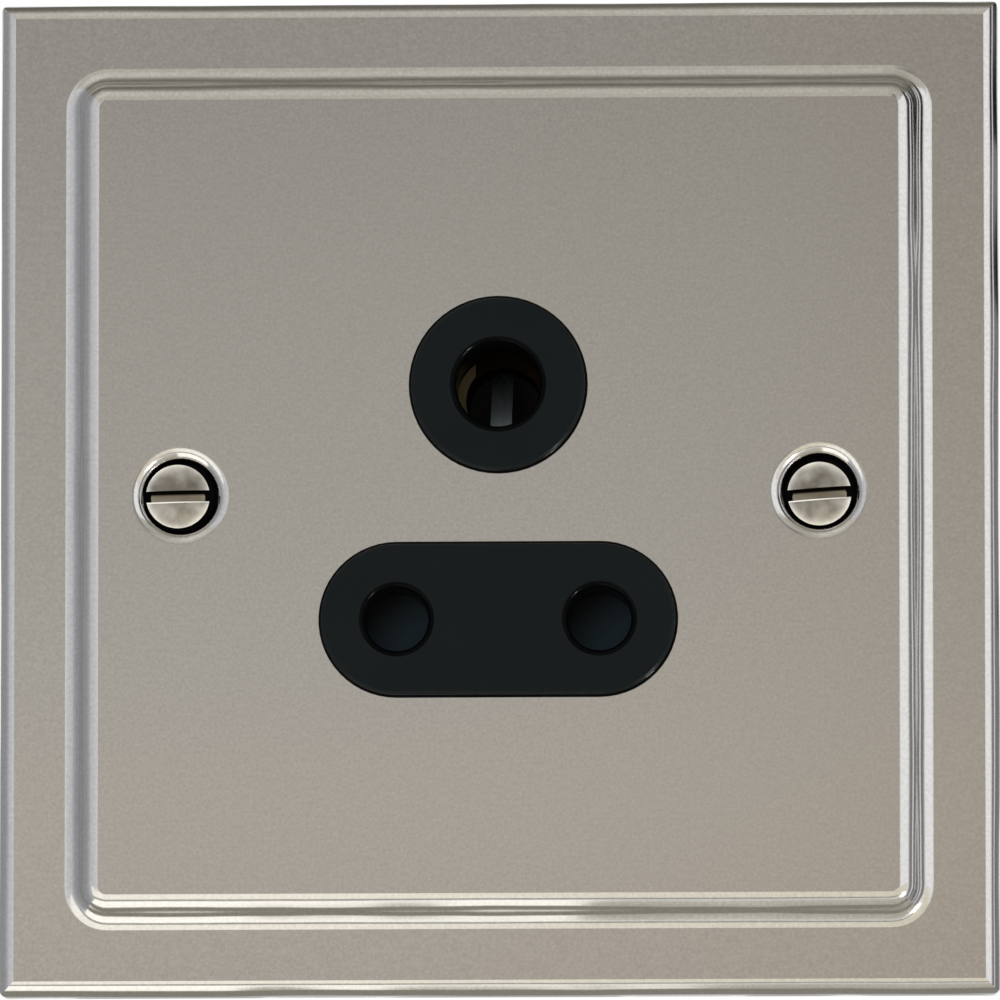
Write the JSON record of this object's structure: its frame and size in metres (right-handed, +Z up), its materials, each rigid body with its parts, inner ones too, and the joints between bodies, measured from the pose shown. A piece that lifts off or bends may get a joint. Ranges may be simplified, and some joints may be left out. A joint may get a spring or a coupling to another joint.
{
  "type": "round pin wall socket",
  "caption": "Shuttered round pin wall socket with a square stepped metal plate and black pin bosses, fixed over a wall box by slotted screws.",
  "frame": {"origin": "centre of the plate's rear rim, on the wall, midway between the two fixing screws", "axes": "+Z up, +X to the right seen from the front, +Y into the wall; the front faces -Y"},
  "size_m": [0.094, 0.0261, 0.094],
  "materials": {
    "nickel_plate": "polished nickel plate",
    "nickel_screw": "nickel plate",
    "black_moulding": "satin thermoset",
    "grey_shutter": "satin",
    "spring_steel": "drawn wire",
    "brass": "bright",
    "zinc_steel": "zinc plate",
    "tinned_brass": "tinned"
  },
  "bodies": {
    "socket": {"front_plate": "nickel_plate", "socket_front": "black_moulding", "fixing_screw_left": "nickel_screw", "fixing_screw_right": "nickel_screw", "shutter_spring": "spring_steel", "rear_housing": "black_moulding", "earth_contact": "brass", "line_contact": "brass", "neutral_contact": "brass", "earth_terminal": "brass", "line_terminal": "brass", "neutral_terminal": "brass", "earth_terminal_screw": "zinc_steel", "line_terminal_screw": "zinc_steel", "neutral_terminal_screw": "zinc_steel", "housing_screws": "zinc_steel", "plate_studs": "zinc_steel", "stud_washers": "zinc_steel", "stud_nuts": "zinc_steel", "earth_strap": "tinned_brass"},
    "shutter": {"shutter": "grey_shutter"}
  },
  "joints": [
    {"name": "shutter_slide", "type": "slide", "parent": "socket", "child": "shutter", "axis": [0, 0, -1], "range_m": [0, 0.00643], "stiffness_N_per_m": 60, "springref_m": -0.006, "deforming": ["shutter_spring"]}
  ]
}
